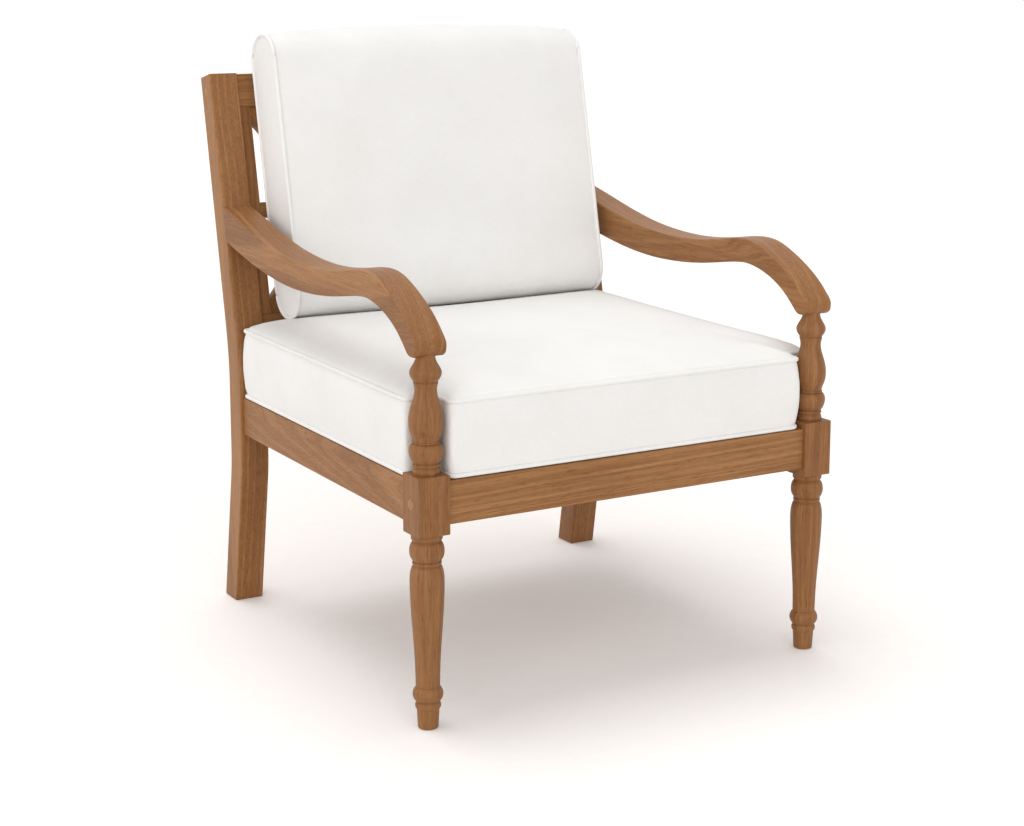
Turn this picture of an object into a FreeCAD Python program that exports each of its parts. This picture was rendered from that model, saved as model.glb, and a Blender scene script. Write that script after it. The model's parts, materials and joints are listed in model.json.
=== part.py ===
import FreeCAD, Part
import math
import os
import re
from FreeCAD import Placement, Rotation, Vector

# Patio armchair in solid teak: turned front legs, raked back posts, S-shaped arms,
# a lattice back and two loose cushions. The chair faces -Y and stands on Z = 0.
# The origin is on the floor, midway between the front and the rear of the frame.

# Driving sizes in millimetres, and in degrees for the rakes.
SIZES = {
    # plan of the frame, measured from the origin
    "frame_width": 698,
    "leg_reach": 357.75,
    "post_reach": 246.95,
    # back posts, sawn from a board with two bends
    "post_width": 48,
    "post_depth": 44,
    "post_top_depth": 39,
    "frame_height": 864,
    "bend_height": 410,
    "back_rake": 12.2,
    "bend_radius": 460,
    "heel_height": 232,
    "heel_rake": 9.65,
    "heel_radius": 300,
    # seat rails and the square block of the front leg
    "block_side": 48,
    "block_bottom": 277,
    "block_height": 83,
    "rail_bottom": 289,
    "rail_height": 61,
    "rail_thickness": 34,
    "side_rail_recess": 6,
    "back_rail_thickness": 30,
    # joinery
    "tenon_thickness": 12,
    "tenon_length": 16,
    "tenon_shoulder": 8,
    "fit_clearance": 0.2,
    "edge_ease": 2,
    # turning below the block
    "foot_radius": 14.1,
    "foot_top_radius": 15.8,
    "foot_height": 27,
    "ankle_radius": 17.2,
    "ankle_ring_height": 11,
    "ankle_bulb_radius": 21,
    "ankle_bulb_height": 21,
    "shoulder_radius": 23.8,
    "shoulder_bulge_radius": 22.7,
    "shoulder_height": 26,
    "groove_radius": 19.2,
    "groove_height": 8,
    "ball_radius": 23.9,
    "ball_height": 25,
    "collar_radius": 21.4,
    "collar_height": 6,
    # turning above the block
    "base_height": 13,
    "waist_radius": 18.8,
    "waist_height": 9.5,
    "vase_radius": 23.8,
    "vase_top_radius": 22.1,
    "vase_height": 37,
    "vase_sweep_radius": 17.6,
    "neck_radius": 15.2,
    "neck_height": 14.6,
    "bulb_low_radius": 17.2,
    "bulb_radius": 21.5,
    "bulb_top_radius": 17.2,
    "bulb_height": 20,
    "spigot_radius": 13,
    "spigot_length": 15,
    "cove_radius": 13.9,
    "cove_height": 13,
    # flats that stand for each round stretch of the turning
    "bead_flat_count": 3,
    "vase_flat_count": 4,
    "sweep_flat_count": 3,
    "cove_flat_count": 2,
    # arms
    "arm_width": 48,
    "arm_seat_height": 522,
    "arm_back_height": 654,
    "arm_back_depth": 57,
    "arm_back_slope": 14.8,
    "arm_dip_height": 601.5,
    "arm_dip_reach": 305,
    "arm_dip_depth": 42.5,
    "arm_dip_shift": 50,
    "arm_crest_height": 619.5,
    "arm_crest_reach": 140,
    "arm_crest_depth": 36,
    "arm_crest_shift": 8,
    "arm_nose_reach": 17.5,
    "arm_nose_height": 19,
    "arm_nose_radius": 9,
    "arm_nose_slope": 37,
    "arm_toe_radius": 18,
    "arm_toe_slope": 44,
    "arm_tenon_height": 30,
    # lattice back, in the plane of the raked posts
    "lattice_recess": 8,
    "lattice_thickness": 22,
    "top_rail_height": 54,
    "low_rail_height": 50,
    "low_rail_rise": 22,
    "stile_width": 20,
    "mid_rail_height": 25,
    "strut_width": 30,
    "strut_thickness": 16,
    # seat deck
    "cleat_width": 22,
    "cleat_height": 24,
    "slat_thickness": 14,
    "slat_width": 56,
    "slat_count": 8,
    "slat_end_gap": 1,
    # bolts under wooden plugs
    "plug_radius": 8,
    "plug_length": 8,
    "bolt_head_radius": 7,
    "bolt_head_height": 6,
    "bolt_radius": 4,
    "bolt_length": 60,
    # cushions
    "rest_gap": 0.3,
    "welt_radius": 3.5,
    "welt_depth": 2.5,
    "seat_pad_height": 104,
    "seat_pad_crown": 25,
    "seat_pad_crown_reach": 105,
    "seat_pad_side_inset": 3,
    "seat_pad_front_inset": 2,
    "seat_pad_leg_gap": 7,
    "seat_pad_back_gap": 3,
    "seat_pad_corner_radius": 9,
    "seat_pad_corner_flat_count": 2,
    "back_pad_side_gap": 17,
    "back_pad_thickness": 95,
    "back_pad_length": 468,
    "back_pad_end_radius": 46,
    "back_pad_end_flat_count": 5,
    "back_pad_edge_gap": 20,
    "back_pad_crown": 15,
}

doc = FreeCAD.newDocument("patio_chair")
sheet = doc.addObject("Spreadsheet::Sheet", "Sizes")
for row, (alias, number) in enumerate(SIZES.items(), start=1):
    sheet.set(f"A{row}", alias)
    sheet.set(f"B{row}", str(number))
    sheet.setAlias(f"B{row}", alias)
doc.recompute()

ALIAS = re.compile(r"\b(" + "|".join(SIZES) + r")\b")


def size(alias):
    return float(sheet.get(alias))


def bind(thing, formulas):
    """Tie properties of an object to formulas written in the aliases of the sheet."""
    for prop, formula in formulas.items():
        thing.setExpression(prop, ALIAS.sub(r"Sizes.\1", str(formula)))
    return thing


def place(x, y, z):
    return {"Placement.Base.x": x, "Placement.Base.y": y, "Placement.Base.z": z}


def box(name, spans, corner):
    """A box of spans (X, Y, Z) from its low corner, as formulas or numbers."""
    thing = doc.addObject("Part::Box", name)
    bind(thing, dict(zip(("Length", "Width", "Height"), spans)))
    return bind(thing, place(*corner))


def lattice_box(name, spans, x, rise, margin=0):
    """A box laid in the raked plane of the back, centred in the thickness of the lattice."""
    thing = doc.addObject("Part::Box", name)
    bind(thing, dict(zip(("Length", "Width", "Height"), spans)))
    doc.recompute()
    y = size("lattice_recess") + (size("lattice_thickness") - thing.Width.Value) / 2
    thing.Placement = RAKED.multiply(Placement(Vector(x - margin, y, rise - margin), Rotation()))
    return thing


def cylinder(name, radius, length, start, turn=None):
    """A cylinder from start along +Z, or along the way that turn points its axis."""
    thing = doc.addObject("Part::Cylinder", name)
    bind(thing, {"Radius": radius, "Height": length})
    if turn:
        thing.Placement.Rotation = turn
    return bind(thing, place(*start))


def fuse(name, pieces):
    thing = doc.addObject("Part::MultiFuse", name)
    thing.Shapes = pieces
    return thing


def cut(name, base, tools):
    thing = doc.addObject("Part::Cut", name)
    thing.Base = base
    thing.Tool = tools[0] if len(tools) == 1 else fuse(name + "_tools", tools)
    return thing


def group(name, pieces):
    thing = doc.addObject("Part::Compound", name)
    thing.Links = pieces
    return thing


def mirror(name, source):
    """The right-hand twin of a left-hand piece."""
    thing = doc.addObject("Part::Mirroring", name)
    thing.Source = source
    thing.Normal = Vector(1, 0, 0)
    return thing


nodes = []


def node(thing, name):
    """Give a finished piece its own name."""
    thing.Label = name
    nodes.append(thing)
    return thing


def sketch_on(body, role, geometry, offset=0):
    """A sketch of ready geometry, on a plane of the body's origin or parallel to it."""
    sketch = body.newObject("Sketcher::SketchObject", body.Name + "_outline")
    plane = [feature for feature in body.Origin.OriginFeatures if feature.Role == role]
    sketch.AttachmentSupport = [(plane[0], "")]
    sketch.MapMode = "FlatFace"
    sketch.AttachmentOffset = Placement(Vector(0, 0, offset), Rotation())
    sketch.addGeometry(geometry, False)
    return sketch


def pad(body, sketch, length):
    """Extrude a sketch by equal halves to both sides of its plane."""
    feature = body.newObject("PartDesign::Pad", body.Name + "_pad")
    feature.Profile = sketch
    feature.SideType = "Symmetric"
    return bind(feature, {"Length": length})


def ease_edges(body, feature, chosen):
    """Plane off the sharp edges that pass the test chosen."""
    doc.recompute()
    names = [f"Edge{i}" for i, edge in enumerate(feature.Shape.Edges, start=1) if chosen(edge)]
    chamfer = body.newObject("PartDesign::Chamfer", body.Name + "_eased")
    chamfer.Base = (feature, names)
    return bind(chamfer, {"Size": "edge_ease"})


def flat(point):
    return Vector(point[0], point[1], 0)


def line(start, end):
    return Part.LineSegment(flat(start), flat(end))


def arc(start, middle, end):
    return Part.Arc(flat(start), flat(middle), flat(end))


def flats(curve, count):
    """Lines of equal length along an arc, as many as the named count."""
    points = curve.discretize(round(size(count)) + 1)
    return [Part.LineSegment(start, end) for start, end in zip(points, points[1:])]


def rounded(corners, count=None):
    """A closed outline through corners (x, y, radius), rounded by arcs or by a named count of flats."""
    spans = []
    for before, corner, after in zip(corners[-1:] + corners[:-1], corners, corners[1:] + corners[:1]):
        here = flat(corner)
        back = (flat(before) - here).normalize()
        ahead = (flat(after) - here).normalize()
        half = back.getAngle(ahead) / 2
        reach = corner[2] / math.tan(half)
        inward = (back + ahead).normalize() * (corner[2] / math.sin(half) - corner[2])
        spans.append((here + back * reach, here + inward, here + ahead * reach, corner[2]))
    geometry = []
    for span, following in zip(spans, spans[1:] + spans[:1]):
        if span[3] > 0:
            corner = arc(*span[:3])
            geometry += flats(corner, count) if count else [corner]
        geometry.append(line(span[2], following[0]))
    return geometry


def tangent_arc(start, corner, end):
    """The arc from start to end whose end tangents meet in corner."""
    middle = (start + end) / 2
    cosine = (end - start).Length / 2 / (corner - start).Length
    return Part.Arc(start, middle + (corner - middle) * (cosine / (1 + cosine)), end)


def smooth_line(points, slopes):
    """Pairs of arcs through points with a given slope at each, drawn along +x."""
    ways = [Vector(1, slope, 0).normalize() for slope in slopes]
    arcs = []
    for start, end, way, end_way in zip(points, points[1:], ways, ways[1:]):
        span = flat(end) - flat(start)
        pull = span.dot(way + end_way)
        turn = 2 * (1 - way.dot(end_way)) * span.dot(span)
        reach = span.dot(span) / (pull + math.sqrt(pull ** 2 + turn))
        near = flat(start) + way * reach
        far = flat(end) - end_way * reach
        joint = (near + far) / 2
        arcs += [tangent_arc(flat(start), near, joint), tangent_arc(joint, far, flat(end))]
    return arcs


# Formulas and values that several pieces share.
LEG_X = "(frame_width / 2 - block_side / 2)"
BLOCK_INSIDE = "(frame_width / 2 - block_side)"
BLOCK_BACK = "(block_side / 2 - leg_reach)"
POST_INSIDE = "(frame_width / 2 - post_width)"
SIDE_RAIL_INSIDE = "(frame_width / 2 - side_rail_recess - rail_thickness)"
RAIL_TOP = "(rail_bottom + rail_height)"
RAIL_MIDDLE = "(rail_bottom + rail_height / 2)"
TENON_HEIGHT = "(rail_height - 2 * tenon_shoulder)"
SIDE_RAIL_LENGTH = f"(post_reach - {BLOCK_BACK})"
BOLT_SEAT = "(plug_length + bolt_head_height)"

ALONG_X = Rotation(Vector(0, 1, 0), 90)
rake = math.radians(size("back_rake"))
RAKED = Placement(Vector(0, size("post_reach"), size("bend_height")),
                  Rotation(Vector(1, 0, 0), -size("back_rake")))
slope_top = (size("frame_height") - size("bend_height")) / math.cos(rake)


def mortise(name, spans, corner):
    """A slot for a tenon of the given spans, larger by the fit on every side."""
    spans = [f"{span} + 2 * fit_clearance" for span in spans]
    corner = [f"{value} - fit_clearance" for value in corner]
    return box(name, spans, corner)


def front_turning():
    """The turned outline of a front leg from the floor to its spigot, as (radius, height)."""
    geometry = []
    at = (0, 0)

    def go(radius, height, bulge=None, count="bead_flat_count"):
        """Straight to the next point, or by flats along an arc that passes bulge at half the height."""
        nonlocal at
        end = (size(radius), height)
        if bulge:
            middle = (size(bulge), (at[1] + height) / 2)
            geometry.extend(flats(arc(at, middle, end), count))
        else:
            geometry.append(line(at, end))
        at = end

    # foot, ankle ring and ankle bulb
    ring_low = size("foot_height")
    ring_top = ring_low + size("ankle_ring_height")
    go("foot_radius", 0)
    go("foot_top_radius", ring_low)
    go("ankle_radius", ring_low)
    go("ankle_radius", ring_top)
    go("ankle_radius", ring_top + size("ankle_bulb_height"), "ankle_bulb_radius")
    # taper, its round shoulder, the grooves and the ball, set down from the block
    block_bottom = size("block_bottom")
    collar = block_bottom - size("collar_height")
    ball_low = collar - size("groove_height") / 2 - size("ball_height")
    shoulder_top = ball_low - size("groove_height")
    go("shoulder_radius", shoulder_top - size("shoulder_height"))
    go("groove_radius", shoulder_top, "shoulder_bulge_radius")
    go("groove_radius", ball_low)
    go("groove_radius", ball_low + size("ball_height"), "ball_radius")
    go("groove_radius", collar)
    go("collar_radius", collar)
    go("collar_radius", block_bottom)
    # baluster, set up from the block and down from the arm
    block_top = block_bottom + size("block_height")
    arm_seat = size("arm_seat_height")
    bulb_top = arm_seat - size("cove_height")
    bulb_low = bulb_top - size("bulb_height")
    go("waist_radius", block_top)
    go("waist_radius", block_top + size("base_height"))
    go("waist_radius", at[1] + size("ball_height"), "ball_radius")
    go("waist_radius", at[1] + size("waist_height"))
    go("vase_top_radius", at[1] + size("vase_height"), "vase_radius", "vase_flat_count")
    go("neck_radius", bulb_low - size("neck_height"), "vase_sweep_radius", "sweep_flat_count")
    go("bulb_low_radius", bulb_low)
    go("bulb_top_radius", bulb_top, "bulb_radius")
    go("spigot_radius", arm_seat, "cove_radius", "cove_flat_count")
    go("spigot_radius", arm_seat + size("spigot_length"))
    geometry.append(line(at, (0, at[1])))
    geometry.append(line((0, at[1]), (0, 0)))
    return geometry


def front_leg():
    """Turned leg, square block and baluster in one piece, with its mortises and bolt bore."""
    body = doc.addObject("PartDesign::Body", "front_leg")
    turning = body.newObject("PartDesign::Revolution", "front_leg_turning")
    outline = sketch_on(body, "XZ_Plane", front_turning())
    turning.Profile = outline
    turning.ReferenceAxis = (outline, ["V_Axis"])
    turning.Angle = 360
    half = size("block_side") / 2
    corners = [(-half, -half, 0), (half, -half, 0), (half, half, 0), (-half, half, 0)]
    middle = size("block_bottom") + size("block_height") / 2
    block = pad(body, sketch_on(body, "XY_Plane", rounded(corners), middle), "block_height")

    def block_corner(edge):
        centre = edge.CenterOfMass
        return min(abs(centre.x), abs(centre.y)) > 0.99 * half

    ease_edges(body, block, block_corner)
    bind(body, place(f"-{LEG_X}", "-leg_reach", "0"))
    tools = [
        mortise("front_rail_slot", ("tenon_length", "tenon_thickness", TENON_HEIGHT),
                (f"-{BLOCK_INSIDE} - tenon_length", "-leg_reach - tenon_thickness / 2",
                 "rail_bottom + tenon_shoulder")),
        mortise("side_rail_slot", ("tenon_thickness", "tenon_length", TENON_HEIGHT),
                (f"-{SIDE_RAIL_INSIDE} - rail_thickness / 2 - tenon_thickness / 2",
                 f"{BLOCK_BACK} - tenon_length", "rail_bottom + tenon_shoulder")),
        *bolt_bore("front", "-leg_reach", RAIL_MIDDLE),
    ]
    return cut("front_leg_joined", body, tools)


def bolt_bore(name, y, z):
    """Counterbore and clear hole for a bolt that enters the left side of the frame along +X."""
    wide = cylinder(f"{name}_counterbore", "plug_radius + fit_clearance / 2", BOLT_SEAT,
                    ("-frame_width / 2", y, z), ALONG_X)
    shank = cylinder(f"{name}_clear_hole", "bolt_radius + fit_clearance / 2",
                     f"{BOLT_SEAT} + bolt_length + fit_clearance", ("-frame_width / 2", y, z), ALONG_X)
    return wide, shank


def bolt(name, y, z):
    """Bolt under its plug, entering the left side of the frame along +X."""
    seat = ("-frame_width / 2 + plug_length", y, z)
    head = doc.addObject("Part::Prism", f"{name}_head")
    head.Polygon = 6
    head.Placement.Rotation = ALONG_X
    bind(head, {"Circumradius": "bolt_head_radius", "Height": "bolt_head_height", **place(*seat)})
    shank = cylinder(f"{name}_shank", "bolt_radius", "bolt_length + bolt_head_height", seat, ALONG_X)
    plug = cylinder(f"{name}_plug", "plug_radius", "plug_length", ("-frame_width / 2", y, z), ALONG_X)
    return fuse(f"{name}_bolt", [head, shank]), plug


def post_line(height):
    """Y of the front face of the straight upper post at a height."""
    return size("post_reach") + (height - size("bend_height")) * math.tan(rake)


def back_post():
    """Back post with its two bends, its eased edges and its mortises."""
    heel = math.tan(math.radians(size("heel_rake"))) * size("heel_height")
    front = size("post_reach")
    back = front + size("post_depth")
    top = size("frame_height")
    bend = size("bend_radius")
    heel_radius = size("heel_radius")
    heel_depth = size("post_depth") / math.cos(math.radians(size("heel_rake")))
    top_back = post_line(top) + size("post_top_depth") * math.cos(rake)
    corners = [
        (front + heel, 0, 0),
        (front, size("heel_height"), heel_radius),
        (front, size("bend_height"), bend),
        (post_line(top), top, 0),
        (top_back, top - size("post_top_depth") * math.sin(rake), 0),
        (back, size("bend_height"), bend),
        (back, size("heel_height"), heel_radius),
        (front + heel + heel_depth, 0, 0),
    ]
    body = doc.addObject("PartDesign::Body", "back_post")
    blank = pad(body, sketch_on(body, "YZ_Plane", rounded(corners)), "post_width")
    ease_edges(body, blank, lambda edge: edge.BoundBox.ZLength > size("post_depth") / 2)
    bind(body, place("-frame_width / 2 + post_width / 2", "0", "0"))
    inside = f"-{POST_INSIDE} - tenon_length"
    tools = [
        mortise("post_side_slot", ("tenon_thickness", "tenon_length", TENON_HEIGHT),
                (f"-{SIDE_RAIL_INSIDE} - rail_thickness / 2 - tenon_thickness / 2", "post_reach",
                 "rail_bottom + tenon_shoulder")),
        mortise("post_back_slot", ("tenon_length", "tenon_thickness", TENON_HEIGHT),
                (inside, "post_reach + post_depth / 2 - tenon_thickness / 2",
                 "rail_bottom + tenon_shoulder")),
        arm_tenon("post_arm_slot", "fit_clearance"),
        *bolt_bore("top", *top_bolt_place()),
    ]
    grow = size("fit_clearance")
    for name, foot in (("top_rail", slope_top - size("top_rail_height")),
                       ("low_rail", size("low_rail_rise"))):
        spans = ("tenon_length", "tenon_thickness", f"{name}_height - 2 * tenon_shoulder")
        spans = [f"{span} + 2 * fit_clearance" for span in spans]
        start = size("post_width") - size("frame_width") / 2 - size("tenon_length")
        tools.append(lattice_box(f"post_{name}_slot", spans, start, foot + size("tenon_shoulder"), grow))
    return cut("back_post_joined", body, tools)


def top_bolt_place():
    """Y and Z of the bolt that holds the end of the top rail."""
    local = Vector(0, size("lattice_recess") + size("lattice_thickness") / 2,
                   slope_top - size("top_rail_height") / 2)
    point = RAKED.multVec(local)
    return point.y, point.z


def arm_tenon(name, margin=None):
    """The tenon of an arm, or its slot in the post, reaching in from the raked face."""
    grow = size(margin) if margin else 0
    middle = size("arm_back_height") - size("arm_back_depth") / 2
    low = middle - size("arm_tenon_height") / 2 - grow
    high = middle + size("arm_tenon_height") / 2 + grow
    depth = size("tenon_length") + grow
    lap = size("tenon_length") / 2
    corners = [(post_line(low) - lap, low, 0), (post_line(low) + depth, low, 0),
               (post_line(high) + depth, high, 0), (post_line(high) - lap, high, 0)]
    body = doc.addObject("PartDesign::Body", name)
    pad(body, sketch_on(body, "YZ_Plane", rounded(corners)), f"tenon_thickness + 2 * {grow}")
    return bind(body, place("-frame_width / 2 + arm_width / 2", "0", "0"))


def arm():
    """S-shaped arm: straight off the post, a dip, a crest and a rounded nose over the leg."""
    axis = -size("leg_reach")
    back_top = size("arm_back_height")
    back_low = back_top - size("arm_back_depth")
    slope = math.tan(math.radians(size("arm_back_slope")))
    dip = size("arm_dip_height")
    crest = size("arm_crest_height")
    seat = size("arm_seat_height")
    nose = axis - size("arm_nose_reach")
    radius = size("arm_nose_radius")
    brow = seat + size("arm_nose_height")
    lean = math.radians(size("arm_nose_slope"))
    toe = math.radians(size("arm_toe_slope"))
    toe_radius = size("arm_toe_radius")

    def nose_arc(height, angle):
        return nose + radius + radius * math.cos(angle), height + radius * math.sin(angle)

    brow_start = nose_arc(brow, math.pi / 2 + lean)
    toe_start = (axis, seat)
    toe_middle = (axis + toe_radius * math.sin(toe / 2), seat + toe_radius * (1 - math.cos(toe / 2)))
    toe_end = (axis + toe_radius * math.sin(toe), seat + toe_radius * (1 - math.cos(toe)))
    crest_y = axis + size("arm_crest_reach")
    dip_y = axis + size("arm_dip_reach")
    top_end = (post_line(back_top), back_top)
    low_end = (post_line(back_low), back_low)
    low_dip = (dip_y + size("arm_dip_shift"), dip - size("arm_dip_depth"))
    low_crest = (crest_y - size("arm_crest_shift"), crest - size("arm_crest_depth"))
    geometry = [
        *smooth_line([brow_start, (crest_y, crest), (dip_y, dip), top_end], [math.tan(lean), 0, 0, slope]),
        line(top_end, low_end),
        *smooth_line([toe_end, low_crest, low_dip, low_end], [math.tan(toe), 0, 0, slope]),
        arc(toe_start, toe_middle, toe_end),
        line(nose_arc(seat + radius, -math.pi / 2), toe_start),
        arc(nose_arc(seat + radius, math.pi), nose_arc(seat + radius, -math.pi * 3 / 4),
            nose_arc(seat + radius, -math.pi / 2)),
        line(nose_arc(brow, math.pi), nose_arc(seat + radius, math.pi)),
        arc(brow_start, nose_arc(brow, math.pi * 3 / 4 + lean / 2), nose_arc(brow, math.pi)),
    ]
    body = doc.addObject("PartDesign::Body", "arm")
    pad(body, sketch_on(body, "YZ_Plane", geometry), "arm_width")
    bind(body, place("-frame_width / 2 + arm_width / 2", "0", "0"))
    socket = cylinder("arm_socket", "spigot_radius + fit_clearance / 2", "spigot_length + fit_clearance",
                      (f"-{LEG_X}", "-leg_reach", "arm_seat_height"))
    return cut("arm_joined", fuse("arm_tenoned", [body, arm_tenon("arm_stub")]), [socket])


def rail(name, spans, corner, along):
    """A seat rail with a tenon at both ends, along axis 0 (X) or 1 (Y)."""
    body = box(f"{name}_body", spans, corner)
    tenon_spans = [f"{spans[0]}", f"{spans[1]}", TENON_HEIGHT]
    tenon_corner = [corner[0], corner[1], "rail_bottom + tenon_shoulder"]
    across = 1 - along
    tenon_spans[along] = f"{spans[along]} + 2 * tenon_length"
    tenon_corner[along] = f"{corner[along]} - tenon_length"
    tenon_spans[across] = "tenon_thickness"
    tenon_corner[across] = f"{corner[across]} + {spans[across]} / 2 - tenon_thickness / 2"
    return fuse(f"{name}_tenoned", [body, box(f"{name}_tenons", tenon_spans, tenon_corner)])


def both_sides(name, thing):
    """A left-hand piece and its mirrored twin."""
    node(thing, f"left_{name}")
    node(mirror(f"right_{name}", thing), f"right_{name}")


def bolts_and_plugs():
    bolts = []
    plugs = []
    for name, where in (("front", ("-leg_reach", RAIL_MIDDLE)), ("top", top_bolt_place())):
        left_bolt, left_plug = bolt(name, *where)
        bolts += [left_bolt, mirror(f"{name}_bolt_right", left_bolt)]
        plugs += [left_plug, mirror(f"{name}_plug_right", left_plug)]
    node(group("frame_bolts", bolts), "frame_bolts")
    node(group("bolt_plugs", plugs), "bolt_plugs")


def seat_rails():
    front = rail("front_rail", (f"2 * {BLOCK_INSIDE}", "rail_thickness", "rail_height"),
                 (f"-{BLOCK_INSIDE}", "-leg_reach - rail_thickness / 2", "rail_bottom"), 0)
    bores = rail_bores("front_rail", "-leg_reach", RAIL_MIDDLE)
    node(cut("front_rail_bored", front, bores), "front_rail")
    node(rail("back_rail", (f"2 * {POST_INSIDE}", "back_rail_thickness", "rail_height"),
              (f"-{POST_INSIDE}", "post_reach + post_depth / 2 - back_rail_thickness / 2",
               "rail_bottom"), 0), "back_rail")
    both_sides("side_rail", rail("side_rail", ("rail_thickness", SIDE_RAIL_LENGTH, "rail_height"),
                                 (f"-{SIDE_RAIL_INSIDE} - rail_thickness", BLOCK_BACK, "rail_bottom"), 1))


def seat_deck():
    """Cleats along the side rails and slats across them, level with the rails."""
    slat_gap = f"(({SIDE_RAIL_LENGTH} - slat_count * slat_width) / (slat_count + 1))"
    slat_length = f"(2 * ({SIDE_RAIL_INSIDE} - slat_end_gap))"
    for index in range(round(size("slat_count"))):
        y = f"{BLOCK_BACK} + {slat_gap} + {index} * ({slat_gap} + slat_width)"
        slat = box(f"slat_{index + 1}", (slat_length, "slat_width", "slat_thickness"),
                   (f"-{slat_length} / 2", y, f"{RAIL_TOP} - slat_thickness"))
        node(slat, f"seat_slat_{index + 1}")
    both_sides("seat_cleat", box("cleat", ("cleat_width", SIDE_RAIL_LENGTH, "cleat_height"),
                                 (f"-{SIDE_RAIL_INSIDE}", BLOCK_BACK,
                                  f"{RAIL_TOP} - slat_thickness - cleat_height")))


def rail_bores(name, y, z):
    """Holes for the bolts that enter both ends of a rail."""
    length = f"{BOLT_SEAT} + bolt_length + fit_clearance"
    return [cylinder(f"{name}_bore_{side}", "bolt_radius + fit_clearance / 2", length,
                     (f"{sign} * frame_width / 2", y, z), turn)
            for side, sign, turn in (("left", -1, ALONG_X), ("right", 1, ALONG_X.inverted()))]


def lattice_rail(name, foot):
    """A rail of the back with a tenon at both ends."""
    inside = size("frame_width") / 2 - size("post_width")
    body = lattice_box(f"{name}_body", (f"2 * {POST_INSIDE}", "lattice_thickness", f"{name}_height"),
                       -inside, foot)
    tenons = lattice_box(f"{name}_tenons", (f"2 * ({POST_INSIDE} + tenon_length)", "tenon_thickness",
                                            f"{name}_height - 2 * tenon_shoulder"),
                         -inside - size("tenon_length"), foot + size("tenon_shoulder"))
    return fuse(f"{name}_tenoned", [body, tenons])


def lattice():
    """Rails, stiles and crossed struts of the back, each laid in the raked plane."""
    inside = size("frame_width") / 2 - size("post_width")
    low = size("low_rail_rise") + size("low_rail_height")
    high = slope_top - size("top_rail_height")
    bores = rail_bores("top_rail", *top_bolt_place())
    node(cut("top_rail_bored", lattice_rail("top_rail", high), bores), "top_rail")
    node(lattice_rail("low_rail", size("low_rail_rise")), "lower_back_rail")
    both_sides("back_stile", lattice_box("stile", ("stile_width", "lattice_thickness", high - low),
                                         -inside, low))
    mid_spans = (f"2 * ({POST_INSIDE} - stile_width)", "lattice_thickness", "mid_rail_height")
    node(lattice_box("mid_rail", mid_spans, size("stile_width") - inside,
                     (low + high - size("mid_rail_height")) / 2), "mid_back_rail")
    struts(inside - size("stile_width"), low, high)


def struts(reach, low, high):
    """Eight half diagonals: two crosses side by side, each cut by the middle rail."""
    cell = reach / 2
    rise = (high - low) / 2
    clear = rise - size("mid_rail_height") / 2
    length = 2 * math.hypot(cell, rise)
    tilt = math.degrees(math.atan2(rise, cell))
    y = size("lattice_recess") + (size("lattice_thickness") - size("strut_thickness")) / 2
    count = 0
    for column in range(4):
        for upper in (False, True):
            count += 1
            centre_x = -reach + cell * (1 if column < 2 else 3)
            left_half = column % 2 == 0
            x = centre_x - cell if left_half else centre_x
            quarter = box(f"quarter_{count}", (cell, "strut_thickness", clear),
                          (x, y, high - clear if upper else low))
            turn = Rotation(Vector(0, 1, 0), tilt if left_half == upper else -tilt)
            start = turn.multVec(Vector(-length / 2, 0, -size("strut_width") / 2))
            strip = box(f"strip_{count}", (length, "strut_thickness", "strut_width"),
                        (centre_x + start.x, y, low + rise + start.z))
            strip.Placement.Rotation = turn
            strut = doc.addObject("Part::MultiCommon", f"strut_{count}")
            strut.Shapes = [quarter, strip]
            strut.Placement = RAKED
            node(strut, f"lattice_strut_{count}")


# Where the sections of the cushions' crowns lie: shares of the seat crown's reach, and for the
# back cushion shares of its half width with the share of the full swell that is reached there.
CROWN_SHARES = (0.02, 0.12, 0.35, 0.7)
SWELL_SHARES = ((0.85, 0.5), (0.6, 0.85), (0.3, 1))
# Angles of the points on the back cushion's lower rounding that are tried against the crown.
CONTACT_ANGLES = range(0, 32, 2)


def crown(inset):
    """Rise of the seat cushion's crown at a distance in from its edge."""
    reach = size("seat_pad_crown_reach")
    out = max(0, 1 - inset / reach)
    return size("seat_pad_crown") * math.sqrt(1 - out * out)


def loft(body, sketches):
    feature = body.newObject("PartDesign::AdditiveLoft", body.Name + "_loft")
    feature.Profile = sketches[0]
    feature.Sections = sketches[1:]
    feature.Ruled = True
    return feature


def seat_cushion():
    """Box cushion notched round the front legs, with welted edges and a full crown."""
    side = size("frame_width") / 2 - size("side_rail_recess") - size("seat_pad_side_inset")
    tongue = size("frame_width") / 2 - size("block_side") - size("seat_pad_leg_gap")
    front = -size("leg_reach") - size("rail_thickness") / 2 + size("seat_pad_front_inset")
    notch = -size("leg_reach") + size("block_side") / 2 + size("seat_pad_leg_gap")
    back = size("post_reach") - size("seat_pad_back_gap")
    radius = size("seat_pad_corner_radius")

    def outline(inset):
        right = [(tongue - inset, front + inset), (tongue - inset, notch + inset),
                 (side - inset, notch + inset), (side - inset, back - inset)]
        left = [(-x, y) for x, y in reversed(right)]
        return rounded([(x, y, radius) for x, y in right + left], "seat_pad_corner_flat_count")

    height = size("seat_pad_height")
    welt = size("welt_radius")
    depth = size("welt_depth")
    levels = [(welt, 0), (0, welt), (depth, 2 * welt), (depth, height - 2 * welt), (0, height - welt)]
    crown_insets = [size("seat_pad_crown_reach") * share for share in CROWN_SHARES]
    levels += [(welt + inset, height + crown(inset)) for inset in crown_insets]
    body = doc.addObject("PartDesign::Body", "seat_pad")
    loft(body, [sketch_on(body, "XY_Plane", outline(inset), z) for inset, z in levels])
    node(bind(body, place("0", "0", f"{RAIL_TOP} + rest_gap")), "seat_cushion")


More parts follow.
